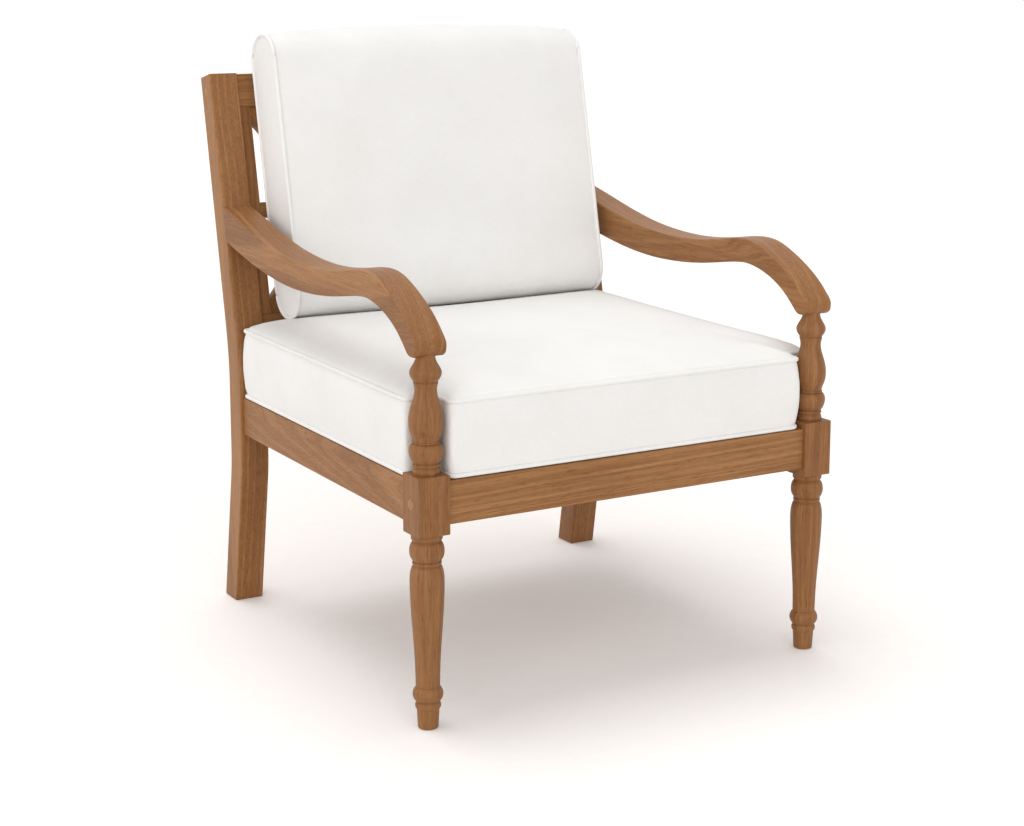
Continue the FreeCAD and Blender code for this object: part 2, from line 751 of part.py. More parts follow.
def back_cushion():
    """Bolster-edged cushion with flat welted ends, leaning on the lattice and standing on the seat."""
    width = size("frame_width") / 2 - size("arm_width") - size("back_pad_side_gap")
    radius = size("back_pad_end_radius")
    thick = size("back_pad_thickness")
    edge = size("back_pad_edge_gap")
    swell = size("back_pad_crown")
    lean = edge + size("lattice_recess") - size("rest_gap")
    welt = size("welt_radius")
    # stand the lower rear rounding, plain or swollen, on the slope of the seat cushion's crown
    seat_top = sum(size(part) for part in ("rail_bottom", "rail_height", "rest_gap", "seat_pad_height"))
    seat_edge = -size("seat_pad_back_gap") - welt
    centre_height = seat_top + radius
    for _ in range(3):
        climb = centre_height - size("bend_height")
        centre_rise = (climb - (edge + radius) * math.sin(rake)) / math.cos(rake)
        centre_y = centre_rise * math.sin(rake) - (edge + radius) * math.cos(rake)
        rests = []
        for bulge in [0] + [share for _, share in SWELL_SHARES]:
            low_y = centre_y + lean * bulge * math.cos(rake)
            drop = lean * bulge * math.sin(rake)
            rests += [crown(seat_edge - low_y + radius * math.sin(angle)) + radius * math.cos(angle) + drop
                      for angle in map(math.radians, CONTACT_ANGLES)]
        centre_height = seat_top + size("rest_gap") + max(rests)
    foot = centre_rise - radius
    head = foot + size("back_pad_length")

    def section(inset, bulge):
        front = -edge - thick + inset - swell * bulge
        back = -edge - inset + lean * bulge
        corners = [(front, foot + inset), (back, foot + inset), (back, head - inset), (front, head - inset)]
        return rounded([(y, z, radius - inset) for y, z in corners], "back_pad_end_flat_count")

    half = [(-width, welt, 0), (-width + welt, 0, 0), (-width + 2 * welt, size("welt_depth"), 0)]
    half += [(-width * share, 0, bulge) for share, bulge in SWELL_SHARES]
    stations = half + [(-x, inset, bulge) for x, inset, bulge in reversed(half)]
    body = doc.addObject("PartDesign::Body", "back_pad")
    loft(body, [sketch_on(body, "YZ_Plane", section(inset, bulge), x) for x, inset, bulge in stations])
    body.Placement = RAKED
    node(body, "back_cushion")


def check_and_export():
    """Stop on any failed object or shape, then write one file per piece."""
    doc.recompute()
    for thing in doc.Objects:
        if {"Invalid", "Error"} & set(thing.State):
            raise RuntimeError(f"{thing.Name} failed: {thing.State}")
    for thing in nodes:
        if thing.Shape.isNull() or not thing.Shape.isValid() or thing.Shape.Volume <= 0:
            raise RuntimeError(f"{thing.Label} has no valid solid")
    os.makedirs("parts", exist_ok=True)
    for thing in nodes:
        thing.Shape.exportStep(f"parts/{thing.Label}.step")


both_sides("front_leg", front_leg())
both_sides("back_post", back_post())
both_sides("arm", arm())
seat_rails()
seat_deck()
lattice()
bolts_and_plugs()
seat_cushion()
back_cushion()
check_and_export()
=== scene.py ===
import json
import math

import bmesh
import bpy
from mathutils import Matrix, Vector
from mathutils.bvhtree import BVHTree
from mathutils.kdtree import KDTree

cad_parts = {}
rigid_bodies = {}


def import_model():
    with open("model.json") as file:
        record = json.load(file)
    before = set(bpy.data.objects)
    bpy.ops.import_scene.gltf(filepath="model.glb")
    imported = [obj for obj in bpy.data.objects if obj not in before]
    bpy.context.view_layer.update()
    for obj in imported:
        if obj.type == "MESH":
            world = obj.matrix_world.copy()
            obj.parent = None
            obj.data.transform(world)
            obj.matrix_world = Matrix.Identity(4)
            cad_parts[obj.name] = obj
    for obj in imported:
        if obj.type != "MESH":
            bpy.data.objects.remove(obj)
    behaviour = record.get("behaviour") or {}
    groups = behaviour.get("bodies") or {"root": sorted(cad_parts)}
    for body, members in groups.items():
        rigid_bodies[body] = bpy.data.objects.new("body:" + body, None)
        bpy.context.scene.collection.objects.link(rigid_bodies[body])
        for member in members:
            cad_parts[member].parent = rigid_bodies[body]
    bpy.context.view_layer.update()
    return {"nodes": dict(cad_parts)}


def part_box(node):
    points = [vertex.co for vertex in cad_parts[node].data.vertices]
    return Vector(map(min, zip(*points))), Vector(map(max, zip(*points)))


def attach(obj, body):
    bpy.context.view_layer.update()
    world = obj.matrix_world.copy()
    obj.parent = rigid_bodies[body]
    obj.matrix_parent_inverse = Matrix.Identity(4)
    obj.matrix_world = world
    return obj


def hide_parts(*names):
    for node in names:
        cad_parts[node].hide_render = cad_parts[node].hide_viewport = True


# Teak patio armchair with two loose off-white cushions. The chair faces -Y and stands on Z = 0.
# Shapes are in millimetres, in the frame of the solids. Materials, floor and camera are in metres.

for thing in list(bpy.data.objects):
    bpy.data.objects.remove(thing)
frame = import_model()
nodes = frame["nodes"]
scene = bpy.context.scene

MM_PER_METRE = 1000
ALONG_X = Vector((1, 0, 0))
ALONG_Y = Vector((0, 1, 0))
ALONG_Z = Vector((0, 0, 1))

# Main lines of the frame: axis of the front legs, faces of the posts, and the bend of the posts.
LEG_X = 325
LEG_Y = -357.75
FRAME_SIDE = 349
POST_INSIDE = 301
POST_Y = 246.95
POST_TOP = 864
BEND_Z = 410
RAKE = math.radians(12.2)
RAKED_UP = Vector((0, math.sin(RAKE), math.cos(RAKE)))


def raked(x, depth, rise):
    """A point given in the leaning plane of the back, in the frame of the chair."""
    y = POST_Y + depth * math.cos(RAKE) + rise * math.sin(RAKE)
    z = BEND_Z - depth * math.sin(RAKE) + rise * math.cos(RAKE)
    return Vector((x, y, z))


# Materials. The spans of a noise are its features per metre.


def add(tree, kind, inputs=None, **settings):
    """Add a node to a tree; an input is a plain value or another node's output."""
    made = tree.nodes.new(kind)
    for key, value in settings.items():
        setattr(made, key, value)
    for key, value in (inputs or {}).items():
        if isinstance(value, bpy.types.NodeSocket):
            tree.links.new(value, made.inputs[key])
        else:
            made.inputs[key].default_value = value
    return made


def math_node(tree, operation, *values):
    return add(tree, "ShaderNodeMath", dict(enumerate(values)), operation=operation).outputs[0]


def vector_node(tree, operation, *values):
    return add(tree, "ShaderNodeVectorMath", dict(enumerate(values)), operation=operation).outputs[0]


def stretched(tree, vector, spans):
    return vector_node(tree, "MULTIPLY", vector, spans)


def noise(tree, vector, spans, detail=2.0, roughness=0.5):
    made = add(tree, "ShaderNodeTexNoise", {"Vector": stretched(tree, vector, spans), "Scale": 1.0,
                                            "Detail": detail, "Roughness": roughness})
    return made.outputs["Fac"]


def ramp(tree, factor, stops):
    """Colours between stops of (position, colour)."""
    made = add(tree, "ShaderNodeValToRGB", {"Fac": factor})
    elements = made.color_ramp.elements
    while len(elements) < len(stops):
        elements.new(0.5)
    for element, (position, colour) in zip(elements, stops):
        element.position = position
        element.color = (*colour, 1)
    return made.outputs["Color"]


def start_material(name):
    """An empty material, with its tree, its output and the place on the object in metres."""
    material = bpy.data.materials.new(name)
    material.use_nodes = True
    tree = material.node_tree
    tree.nodes.clear()
    output = tree.nodes.new("ShaderNodeOutputMaterial")
    place = tree.nodes.new("ShaderNodeTexCoord").outputs["Object"]
    return material, tree, output, place


def shifted(tree, vector, spans, reach):
    """Noise about zero, as an offset across the grain of at most half the reach."""
    made = add(tree, "ShaderNodeTexNoise", {"Vector": stretched(tree, vector, spans), "Scale": 1.0,
                                            "Detail": 2.0})
    centred = vector_node(tree, "SUBTRACT", made.outputs["Color"], (0.5, 0.5, 0.5))
    return stretched(tree, centred, (reach, reach, 0))


TURNED_RADIUS = 0.022
EVENED_SHARE = 0.85


def along_turning(tree, place, axis):
    """Coordinates in which the grain of a turned piece nearly follows its swellings; axis is its (x, y)."""
    offset = vector_node(tree, "SUBTRACT", place, (axis[0] / MM_PER_METRE, axis[1] / MM_PER_METRE, 0))
    across = stretched(tree, offset, (1, 1, 0))
    outward = vector_node(tree, "NORMALIZE", across)
    mean = stretched(tree, outward, (TURNED_RADIUS, TURNED_RADIUS, 0))
    even = add(tree, "ShaderNodeMix", {"Factor": EVENED_SHARE, 4: across, 5: mean},
               data_type="VECTOR").outputs[1]
    return vector_node(tree, "ADD", even, stretched(tree, place, (0, 0, 1)))


# Teak from its dark to its light grain, and how much each layer of noise adds to the shade.
TEAK_TONES = [
    (0.34, (0.174, 0.070, 0.023)),
    (0.46, (0.254, 0.110, 0.038)),
    (0.54, (0.316, 0.145, 0.051)),
    (0.68, (0.396, 0.199, 0.080)),
]
RING_SHARE = 0.36
STREAK_SHARE = 0.24
FIBRE_SHARE = 0.28
BLOTCH_SHARE = 0.14
RINGS_PER_METRE = 120.0
# Spans and reach of a slow drift of the pith and of a finer waver.
RING_BENDS = [((5, 5, 1.4), 0.03), ((45, 45, 9), 0.004)]
# Masks over the tones: dark vessel lines at some of the rings, and fine pores.
VESSEL_LINES = [
    (0.445, (1, 1, 1)),
    (0.475, (0.66, 0.58, 0.52)),
    (0.488, (0.70, 0.63, 0.57)),
    (0.52, (1, 1, 1)),
]
PORE_DOTS = [(0.30, (0.62, 0.56, 0.50)), (0.42, (1, 1, 1))]


def teak(name, along, pith, tone=0.0, figure=1.0, axis=None):
    """Oiled teak: grain along a way, and growth rings round a pith.

    A higher tone is lighter, a lower figure has fainter rings, and a turned piece has an axis.
    """
    material, tree, output, place = start_material(name)
    if axis:
        place = along_turning(tree, place, axis)
    turn = along.rotation_difference(ALONG_Z).to_euler()
    grain = add(tree, "ShaderNodeMapping", {"Vector": place, "Rotation": turn, "Location": pith}).outputs[0]
    bent = grain
    for spans, reach in RING_BENDS:
        bent = vector_node(tree, "ADD", bent, shifted(tree, grain, spans, reach))
    radius = add(tree, "ShaderNodeVectorMath", {0: stretched(tree, bent, (1, 1, 0))},
                 operation="LENGTH").outputs["Value"]
    rings = add(tree, "ShaderNodeTexNoise", {"W": math_node(tree, "MULTIPLY", radius, RINGS_PER_METRE),
                                             "Scale": 1.0, "Detail": 4.0, "Roughness": 0.65},
                noise_dimensions="1D").outputs["Fac"]
    streaks = noise(tree, grain, (190 * figure, 190 * figure, 4), detail=3.0, roughness=0.6)
    fibres = noise(tree, grain, (620, 620, 7), detail=3.0, roughness=0.6)
    blotch = noise(tree, grain, (16, 16, 3))
    pores = noise(tree, grain, (1500, 1500, 55), detail=1.0)
    # fainter rings are made up for, so that the mean shade stays
    base = tone + RING_SHARE / 2 * (1 - figure)
    shade = math_node(tree, "MULTIPLY_ADD", rings, RING_SHARE * figure, base)
    for layer, share in ((streaks, STREAK_SHARE), (fibres, FIBRE_SHARE), (blotch, BLOTCH_SHARE)):
        shade = math_node(tree, "ADD", shade, math_node(tree, "MULTIPLY", layer, share))
    colour = ramp(tree, shade, TEAK_TONES)
    vessels = ramp(tree, rings, VESSEL_LINES)
    # the vessel lines come and go with the streaks
    broken = add(tree, "ShaderNodeMapRange", {"Value": streaks, "From Min": 0.4, "From Max": 0.62,
                                              "To Min": 0.1, "To Max": 0.75 * figure ** 2}).outputs[0]
    for mask, depth in ((ramp(tree, pores, PORE_DOTS), 1.0), (vessels, broken)):
        colour = add(tree, "ShaderNodeMix", {"Factor": depth, 6: colour, 7: mask}, data_type="RGBA",
                     blend_type="MULTIPLY").outputs[2]
    gloss = add(tree, "ShaderNodeMapRange", {"Value": fibres, "To Min": 0.38, "To Max": 0.54}).outputs[0]
    relief = math_node(tree, "ADD", math_node(tree, "MULTIPLY", fibres, 0.6), pores)
    bump = add(tree, "ShaderNodeBump", {"Height": relief, "Strength": 0.16, "Distance": 0.0005})
    shader = add(tree, "ShaderNodeBsdfPrincipled", {"Base Color": colour, "Roughness": gloss,
                                                    "Normal": bump.outputs[0], "Specular IOR Level": 0.22})
    tree.links.new(shader.outputs[0], output.inputs[0])
    return material


THREAD_SPANS = [(90, 1100, 1100), (1100, 90, 1100), (1100, 1100, 90)]
COVER_TONES = [(0.36, (0.775, 0.765, 0.746)), (0.64, (0.850, 0.842, 0.826))]
WEAVE_SHARE = 0.22
MOTTLE_SHARE = 0.34


def woven(name):
    """Plain-woven off-white cover cloth: slubby threads, a faint mottle and shallow puckers."""
    material, tree, output, place = start_material(name)
    threads = [noise(tree, place, spans, roughness=0.6) for spans in THREAD_SPANS]
    weave = math_node(tree, "ADD", math_node(tree, "ADD", threads[0], threads[1]), threads[2])
    mottle = noise(tree, place, (9, 9, 9), detail=4.0, roughness=0.6)
    puckers = noise(tree, place, (30, 30, 30))
    shade = math_node(tree, "ADD", math_node(tree, "MULTIPLY", weave, WEAVE_SHARE),
                      math_node(tree, "MULTIPLY", mottle, MOTTLE_SHARE))
    colour = ramp(tree, shade, COVER_TONES)
    relief = add(tree, "ShaderNodeBump", {"Height": puckers, "Strength": 0.10, "Distance": 0.004})
    bump = add(tree, "ShaderNodeBump", {"Height": weave, "Strength": 0.20, "Distance": 0.0005,
                                        "Normal": relief.outputs[0]})
    shader = add(tree, "ShaderNodeBsdfPrincipled", {
        "Base Color": colour, "Roughness": 0.88, "Specular IOR Level": 0.2, "Sheen Weight": 0.12,
        "Sheen Roughness": 0.5, "Normal": bump.outputs[0]})
    tree.links.new(shader.outputs[0], output.inputs[0])
    return material


def brushed_steel(name):
    """Steel with fine streaks along X."""
    material, tree, output, place = start_material(name)
    streaks = noise(tree, place, (60, 2500, 2500))
    colour = ramp(tree, streaks, [(0.3, (0.42, 0.42, 0.42)), (0.7, (0.58, 0.58, 0.57))])
    gloss = add(tree, "ShaderNodeMapRange", {"Value": streaks, "To Min": 0.28, "To Max": 0.42}).outputs[0]
    shader = add(tree, "ShaderNodeBsdfPrincipled", {"Base Color": colour, "Roughness": gloss,
                                                    "Metallic": 1.0})
    tree.links.new(shader.outputs[0], output.inputs[0])
    return material


# Shapes.


def finished(name, mesh, body, material, stands_for=()):
    """Put a mesh in millimetres into the scene as a piece that rides on a body."""
    for vertex in mesh.vertices:
        vertex.co /= MM_PER_METRE
    piece = bpy.data.objects.new(name, mesh)
    scene.collection.objects.link(piece)
    mesh.materials.clear()
    mesh.materials.append(material)
    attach(piece, body)
    if stands_for:
        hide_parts(*stands_for)
    return piece


def to_mesh(name, shape, sharp=40):
    """Smooth-shaded mesh of a bmesh, with its edges over the sharp angle kept crisp."""
    bmesh.ops.recalc_face_normals(shape, faces=shape.faces)
    for face in shape.faces:
        face.smooth = True
    for edge in shape.edges:
        if len(edge.link_faces) == 2 and edge.calc_face_angle() > math.radians(sharp):
            edge.smooth = False
    mesh = bpy.data.meshes.new(name)
    shape.to_mesh(mesh)
    shape.free()
    return mesh


def weighted(piece):
    """Let the large flat faces decide the shading of a rounded piece."""
    normals = piece.modifiers.new("flat faces", "WEIGHTED_NORMAL")
    normals.keep_sharp = True
    normals.weight = 90


def through(points, steps):
    """A smooth line through points, with steps to each span."""
    points = [Vector(point) for point in points]
    ends = [2 * points[0] - points[1], *points, 2 * points[-1] - points[-2]]
    line = []
    for a, b, c, d in zip(ends, ends[1:], ends[2:], ends[3:]):
        for step in range(steps):
            t = step / steps
            line.append(0.5 * (2 * b + (c - a) * t + (2 * a - 5 * b + 4 * c - d) * t ** 2
                               + (3 * b - a - 3 * c + d) * t ** 3))
    return line + [points[-1]]


def neighbours(line):
    """Each item of a closed line, between the one before it and the one after it."""
    return zip(line[-1:] + line[:-1], line, line[1:] + line[:1])


def rounded(corners, steps):
    """A closed outline through corners (u, v, radius), with each corner rounded in steps."""
    outline = []
    for before, (u, v, radius), after in neighbours(corners):
        here = Vector((u, v))
        if radius <= 0:
            outline.append(here)
            continue
        back = (Vector(before[:2]) - here).normalized()
        ahead = (Vector(after[:2]) - here).normalized()
        half = back.angle(ahead) / 2
        centre = here + (back + ahead).normalized() * (radius / math.sin(half))
        start = (here + back * (radius / math.tan(half)) - centre).normalized()
        end = (here + ahead * (radius / math.tan(half)) - centre).normalized()
        outline += [centre + start.slerp(end, step / steps) * radius for step in range(steps + 1)]
    return outline


def inset_line(outline, distance):
    """A closed outline moved inwards by a distance; the outline runs anticlockwise."""
    sharpest = 0.2
    moved = []
    for before, here, after in neighbours(outline):
        first = (here - before).normalized()
        second = (after - here).normalized()
        inward = Vector((-first.y - second.y, first.x + second.x))
        inward /= max(sharpest, 1 + first.dot(second))
        moved.append(here + inward * distance)
    return moved


def around(count):
    """Angles of a full turn in equal steps."""
    return [2 * math.pi * i / count for i in range(count)]


def skin(shape, rings):
    """Quads between closed rings of equal count."""
    for low, high in zip(rings, rings[1:]):
        for i in range(len(low)):
            j = (i + 1) % len(low)
            shape.faces.new((low[i], low[j], high[j], high[i]))


def closed_skin(shape, rings):
    """Quads between rings, and a face over each end."""
    skin(shape, rings)
    shape.faces.new(rings[0][::-1])
    shape.faces.new(rings[-1])


EDGE_STEPS = 4


def board(name, outline, x_low, x_high, radius):
    """A sawn board: an outline in (y, z) given thickness along X, with its edges rounded over."""
    area = sum(a.x * b.y - b.x * a.y for a, b in zip(outline, outline[1:] + outline[:1]))
    if area < 0:
        outline = outline[::-1]
    stations = []
    for step in range(EDGE_STEPS + 1):
        angle = math.pi / 2 * step / EDGE_STEPS
        stations.append((x_low + radius * (1 - math.cos(angle)), radius * (1 - math.sin(angle))))
    stations += [(x_low + x_high - x, inset) for x, inset in reversed(stations)]
    shape = bmesh.new()
    rings = [[shape.verts.new((x, point.x, point.y)) for point in inset_line(outline, inset)]
             for x, inset in stations]
    closed_skin(shape, rings)
    return to_mesh(name, shape)


def rounded_block(shape, low, high, radius):
    """Add a box with rounded edges to a shape."""
    made = bmesh.ops.create_cube(shape, size=1)["verts"]
    for vertex in made:
        vertex.co = Vector(h if c > 0 else l for c, l, h in zip(vertex.co, low, high))
    edges = list({edge for vertex in made for edge in vertex.link_edges})
    bmesh.ops.bevel(shape, geom=edges, offset=radius, segments=3, profile=0.5, affect="EDGES")


TURNED_SEGMENTS = 72
STROKE_STEPS = 4


def turned(shape, strokes, x, y):
    """Add a turned form to a shape: smooth strokes of (radius, height), with a crisp line between two."""
    profile = []
    for stroke in strokes:
        profile += through(stroke, STROKE_STEPS) if len(stroke) > 2 else [Vector(point) for point in stroke]
    rings = [[shape.verts.new((x + radius * math.cos(a), y + radius * math.sin(a), z))
              for a in around(TURNED_SEGMENTS)] for radius, z in profile]
    closed_skin(shape, rings)


# Front legs: turned below and above a square block, each stroke a line of (radius, height).

LOWER_TURNING = [
    [(13.0, 0), (14.2, 1.4)],
    [(14.3, 1.6), (15.7, 27)],
    [(15.7, 27.6), (17.3, 29.6), (18.0, 32.6), (17.5, 35.6), (16.2, 37.8)],
    [(15.8, 38.2), (16.0, 38.9)],
    [(17.0, 39.4), (19.4, 42.2), (20.9, 45.8), (21.3, 49.2), (20.6, 53.2), (18.8, 56.8), (17.2, 58.8)],
    [(16.4, 59.4), (16.4, 60.6)],
    [(16.9, 61.2), (17.1, 75), (17.7, 95), (18.7, 113), (19.9, 130), (21.5, 152), (22.8, 172), (23.6, 190),
     (24.0, 204), (23.9, 214), (23.1, 222), (21.7, 228), (20.0, 231.6)],
    [(18.9, 232.4), (18.9, 234)],
    [(19.9, 234.6), (20.3, 236.2), (19.9, 237.8)],
    [(18.8, 238.4), (18.9, 239)],
    [(19.8, 239.6), (21.8, 242.6), (23.5, 246.6), (24.2, 251.6), (23.9, 257), (22.5, 261.8), (20.2, 265.4)],
    [(19.0, 266.2), (19.0, 267.6)],
    [(20.0, 268.2), (21.4, 269.4), (21.8, 271)],
    [(21.8, 271.4), (21.8, 278)],
]
UPPER_TURNING = [
    [(18.3, 359), (18.7, 361), (19.1, 363), (19.0, 365.4), (18.5, 367.2), (17.7, 368.4)],
    [(17.1, 368.9), (17.1, 370.2)],
    [(17.9, 370.6), (18.7, 371.6), (18.8, 372.8), (18.2, 374.2)],
    [(17.3, 374.7), (17.4, 375.6)],
    [(18.3, 376.1), (20.7, 379.6), (22.8, 385.2), (23.9, 391.4), (23.0, 396.8), (21.3, 400.2),
     (19.5, 402.2)],
    [(18.0, 402.7), (18.0, 403.3)],
    [(18.8, 403.6), (19.1, 404.5), (18.8, 405.4)],
    [(17.8, 405.8), (18.0, 408)],
    [(18.6, 408.6), (19.9, 412.8), (21.7, 417.4), (23.3, 423.5), (24.0, 431.5), (23.5, 440), (21.5, 449.6),
     (18.6, 459), (16.4, 466.2), (15.3, 473.4), (15.5, 479), (16.4, 483), (17.1, 486.2)],
    [(16.2, 486.7), (16.2, 487.8)],
    [(17.0, 488.2), (18.5, 490.4), (20.5, 493.6), (21.7, 497.2), (21.8, 500.4), (20.9, 503.6), (19.1, 507),
     (16.8, 511), (14.7, 515), (13.4, 519), (13.0, 524)],
    [(13.0, 525), (13.0, 536)],
]
BLOCK_HALF = 24
BLOCK_LOW = 277
BLOCK_HIGH = 360
BLOCK_EDGE = 1.1

for number, (side, x) in enumerate((("left", -LEG_X), ("right", LEG_X))):
    shape = bmesh.new()
    turned(shape, LOWER_TURNING, x, LEG_Y)
    turned(shape, UPPER_TURNING, x, LEG_Y)
    rounded_block(shape, (x - BLOCK_HALF, LEG_Y - BLOCK_HALF, BLOCK_LOW),
                  (x + BLOCK_HALF, LEG_Y + BLOCK_HALF, BLOCK_HIGH), BLOCK_EDGE)
    wood = teak(f"teak_{side}_front_leg", Vector((0.012, 0.008, 1)), (0.16, 0.21 + 0.1 * number, 0.3),
                tone=-0.03, figure=0.55, axis=(x, LEG_Y))
    weighted(finished(f"{side}_turned_leg", to_mesh(f"{side}_turned_leg", shape, sharp=32), "frame",
                      wood, [f"{side}_front_leg"]))

# Arms and back posts, as outlines in (y, z). The arm's are given with y from the axis of the front legs.

ARM_TOP = [
    (660, 654.6), (626, 647), (594, 639.8), (549, 629.2), (504, 619.4), (447, 609.4), (385, 603.2),
    (330, 601.4), (290, 602.6), (256, 605.2), (215, 610.6), (175, 616.8), (146, 619.4), (124, 618.6),
    (104, 614.8), (82, 607), (56, 595.4), (29, 580.8), (8, 566.2), (-6, 553.6), (-13.6, 546.2),
    (-17, 540.4), (-17.5, 534), (-15.6, 527), (-9.6, 522.4),
]
ARM_LOW = [
    (-4, 522), (4, 522.4), (11, 526.4), (19, 533.8), (37, 548.6), (58, 561.2), (82, 571.4), (110, 579),
    (138, 582.2), (165, 580.2), (191, 576.4), (225, 571), (264, 565.6), (315, 561), (375, 559.2),
    (425, 561), (475, 565.6), (530, 573.6), (583, 583.4), (626, 592.8), (648, 597.6),
]
ARM_STEPS = 4
ARM_EDGE = 3.2
arm_line = through(ARM_TOP, ARM_STEPS) + through(ARM_LOW, ARM_STEPS)
arm_outline = [Vector((point.x + LEG_Y, point.y)) for point in arm_line]

POST_EDGE = 2.0
POST_DEPTH = 44
POST_HEAD_DEPTH = 39
BEND_RADIUS = 460
HEEL_Z = 232
HEEL_RADIUS = 300
HEEL_SPLAY = math.radians(9.65)
HEEL = HEEL_Z * math.tan(HEEL_SPLAY)
TOP_Y = POST_Y + (POST_TOP - BEND_Z) * math.tan(RAKE)
post_outline = rounded([
    (POST_Y + HEEL, 0, 0),
    (POST_Y, HEEL_Z, HEEL_RADIUS),
    (POST_Y, BEND_Z, BEND_RADIUS),
    (TOP_Y, POST_TOP, 0),
    (TOP_Y + POST_HEAD_DEPTH * math.cos(RAKE), POST_TOP - POST_HEAD_DEPTH * math.sin(RAKE), 0),
    (POST_Y + POST_DEPTH, BEND_Z, BEND_RADIUS),
    (POST_Y + POST_DEPTH, HEEL_Z, HEEL_RADIUS),
    (POST_Y + HEEL + POST_DEPTH / math.cos(HEEL_SPLAY), 0, 0),
], steps=10)

for number, (side, sign) in enumerate((("left", -1), ("right", 1))):
    faces = sorted((sign * POST_INSIDE, sign * FRAME_SIDE))
    wood = teak(f"teak_{side}_arm", Vector((0.015, 1, 0.02)), (0.95 - 0.4 * number, 0.70, 0.2), tone=-0.01)
    weighted(finished(f"{side}_shaped_arm", board(f"{side}_shaped_arm", arm_outline, *faces, ARM_EDGE),
                      "frame", wood, [f"{side}_arm"]))
    wood = teak(f"teak_{side}_post", Vector((0.008, 0, 1)), (1.05 - 0.5 * number, -0.25, 0.6))
    weighted(finished(f"{side}_sawn_post", board(f"{side}_sawn_post", post_outline, *faces, POST_EDGE),
                      "frame", wood, [f"{side}_back_post"]))

# Seat rails and the top rail of the back. Each mesh is sunk a little into the pieces at its ends.

SUNK = 2
RAIL_EDGE = 1.6
RAIL_LOW = 289
RAIL_HIGH = 350
RAIL_HALF = 17
RAIL_END = POST_INSIDE + SUNK
SIDE_RAIL_INSIDE = 309
SIDE_RAIL_OUTSIDE = 343
SIDE_RAIL_FRONT = LEG_Y + BLOCK_HALF - SUNK
SIDE_RAIL_REAR = POST_Y + SUNK
# The top rail is given in the leaning plane of the back.
SLOPE_TOP = (POST_TOP - BEND_Z) / math.cos(RAKE)
HEAD_RAIL_FRONT = 8
HEAD_RAIL_REAR = 30
HEAD_RAIL_HEIGHT = 54


def rail(name, low, high, along, pith, tone, stands_for, lean=False):
    """A rail with softened edges; one that leans is given in the plane of the back."""
    shape = bmesh.new()
    rounded_block(shape, low, high, RAIL_EDGE)
    if lean:
        for vertex in shape.verts:
            vertex.co = raked(*vertex.co)
    wood = teak(f"teak_{name}", along, pith, tone)
    weighted(finished(name, to_mesh(name, shape), "frame", wood, [stands_for]))


rail("front_seat_rail", (-RAIL_END, LEG_Y - RAIL_HALF, RAIL_LOW), (RAIL_END, LEG_Y + RAIL_HALF, RAIL_HIGH),
     Vector((1, 0.012, 0.02)), (0.62, 0.46, 0.9), 0.03, "front_rail")
rail("left_seat_rail", (-SIDE_RAIL_OUTSIDE, SIDE_RAIL_FRONT, RAIL_LOW),
     (-SIDE_RAIL_INSIDE, SIDE_RAIL_REAR, RAIL_HIGH),
     Vector((0.05, 1, 0.03)), (0.285, 0.325, 0.4), 0.02, "left_side_rail")
rail("right_seat_rail", (SIDE_RAIL_INSIDE, SIDE_RAIL_FRONT, RAIL_LOW),
     (SIDE_RAIL_OUTSIDE, SIDE_RAIL_REAR, RAIL_HIGH),
     Vector((-0.02, 1, -0.03)), (-0.30, 0.30, 0.1), 0.0, "right_side_rail")
rail("head_rail", (-RAIL_END, HEAD_RAIL_FRONT, SLOPE_TOP - HEAD_RAIL_HEIGHT),
     (RAIL_END, HEAD_RAIL_REAR, SLOPE_TOP),
     Vector((1, 0, 0.02)), (0.9, 0.3, 0.2), 0.0, "top_rail", True)

# Plugs over the bolts: small discs a hair proud of the wood, in a fine dark joint line.

PLUG_RADIUS = 7.9
PLUG_PROUD = 0.32
JOINT_RADIUS = 8.35
JOINT_PROUD = 0.06
PLUG_DEPTH = 3
PLUG_SEGMENTS = 40
SEAT_BOLT_Z = 319.5
TOP_BOLT = raked(0, (HEAD_RAIL_FRONT + HEAD_RAIL_REAR) / 2, SLOPE_TOP - HEAD_RAIL_HEIGHT / 2)
plug_wood = teak("teak_plugs", Vector((0, 0.3, 1)), (0.2, 0.1, 0.2), tone=0.13)
joint_line = teak("teak_plug_joint", Vector((0, 0.3, 1)), (0.2, 0.1, 0.2), tone=-0.3)


def disc(shape, sign, y, z, radius, proud):
    """Add a disc with a rounded rim to a shape, on the outer side of the frame."""
    rings = []
    for inset, out in ((0, -PLUG_DEPTH), (0, proud - 0.25), (0.12, proud - 0.08), (0.4, proud)):
        x = sign * (FRAME_SIDE + out)
        rim = radius - inset
        rings.append([shape.verts.new((x, y + rim * math.cos(a), z + rim * math.sin(a)))
                      for a in around(PLUG_SEGMENTS)])
    closed_skin(shape, rings)


plugs = bmesh.new()
joints = bmesh.new()
for sign in (-1, 1):
    for y, z in ((LEG_Y, SEAT_BOLT_Z), (TOP_BOLT.y, TOP_BOLT.z)):
        disc(plugs, sign, y, z, PLUG_RADIUS, PLUG_PROUD)
        disc(joints, sign, y, z, JOINT_RADIUS, JOINT_PROUD)
finished("wood_plugs", to_mesh("wood_plugs", plugs), "frame", plug_wood, ["bolt_plugs"])
finished("plug_joints", to_mesh("plug_joints", joints), "frame", joint_line)

# Pieces that stay as solids: grain along each piece, and lightly rounded edges.


def dress(name, along, pith, tone=0.0):
    """Give a solid its own teak and softened edges."""
    piece = nodes[name]
    piece.data.materials.clear()
    piece.data.materials.append(teak(f"teak_{name}", along, pith, tone))
    weld = piece.modifiers.new("closed edges", "WELD")
    weld.merge_threshold = 0.00002
    bevel = piece.modifiers.new("softened edges", "BEVEL")
    bevel.width = 0.0012
    bevel.segments = 3
    bevel.limit_method = "ANGLE"
    bevel.angle_limit = math.radians(40)
    weighted(piece)


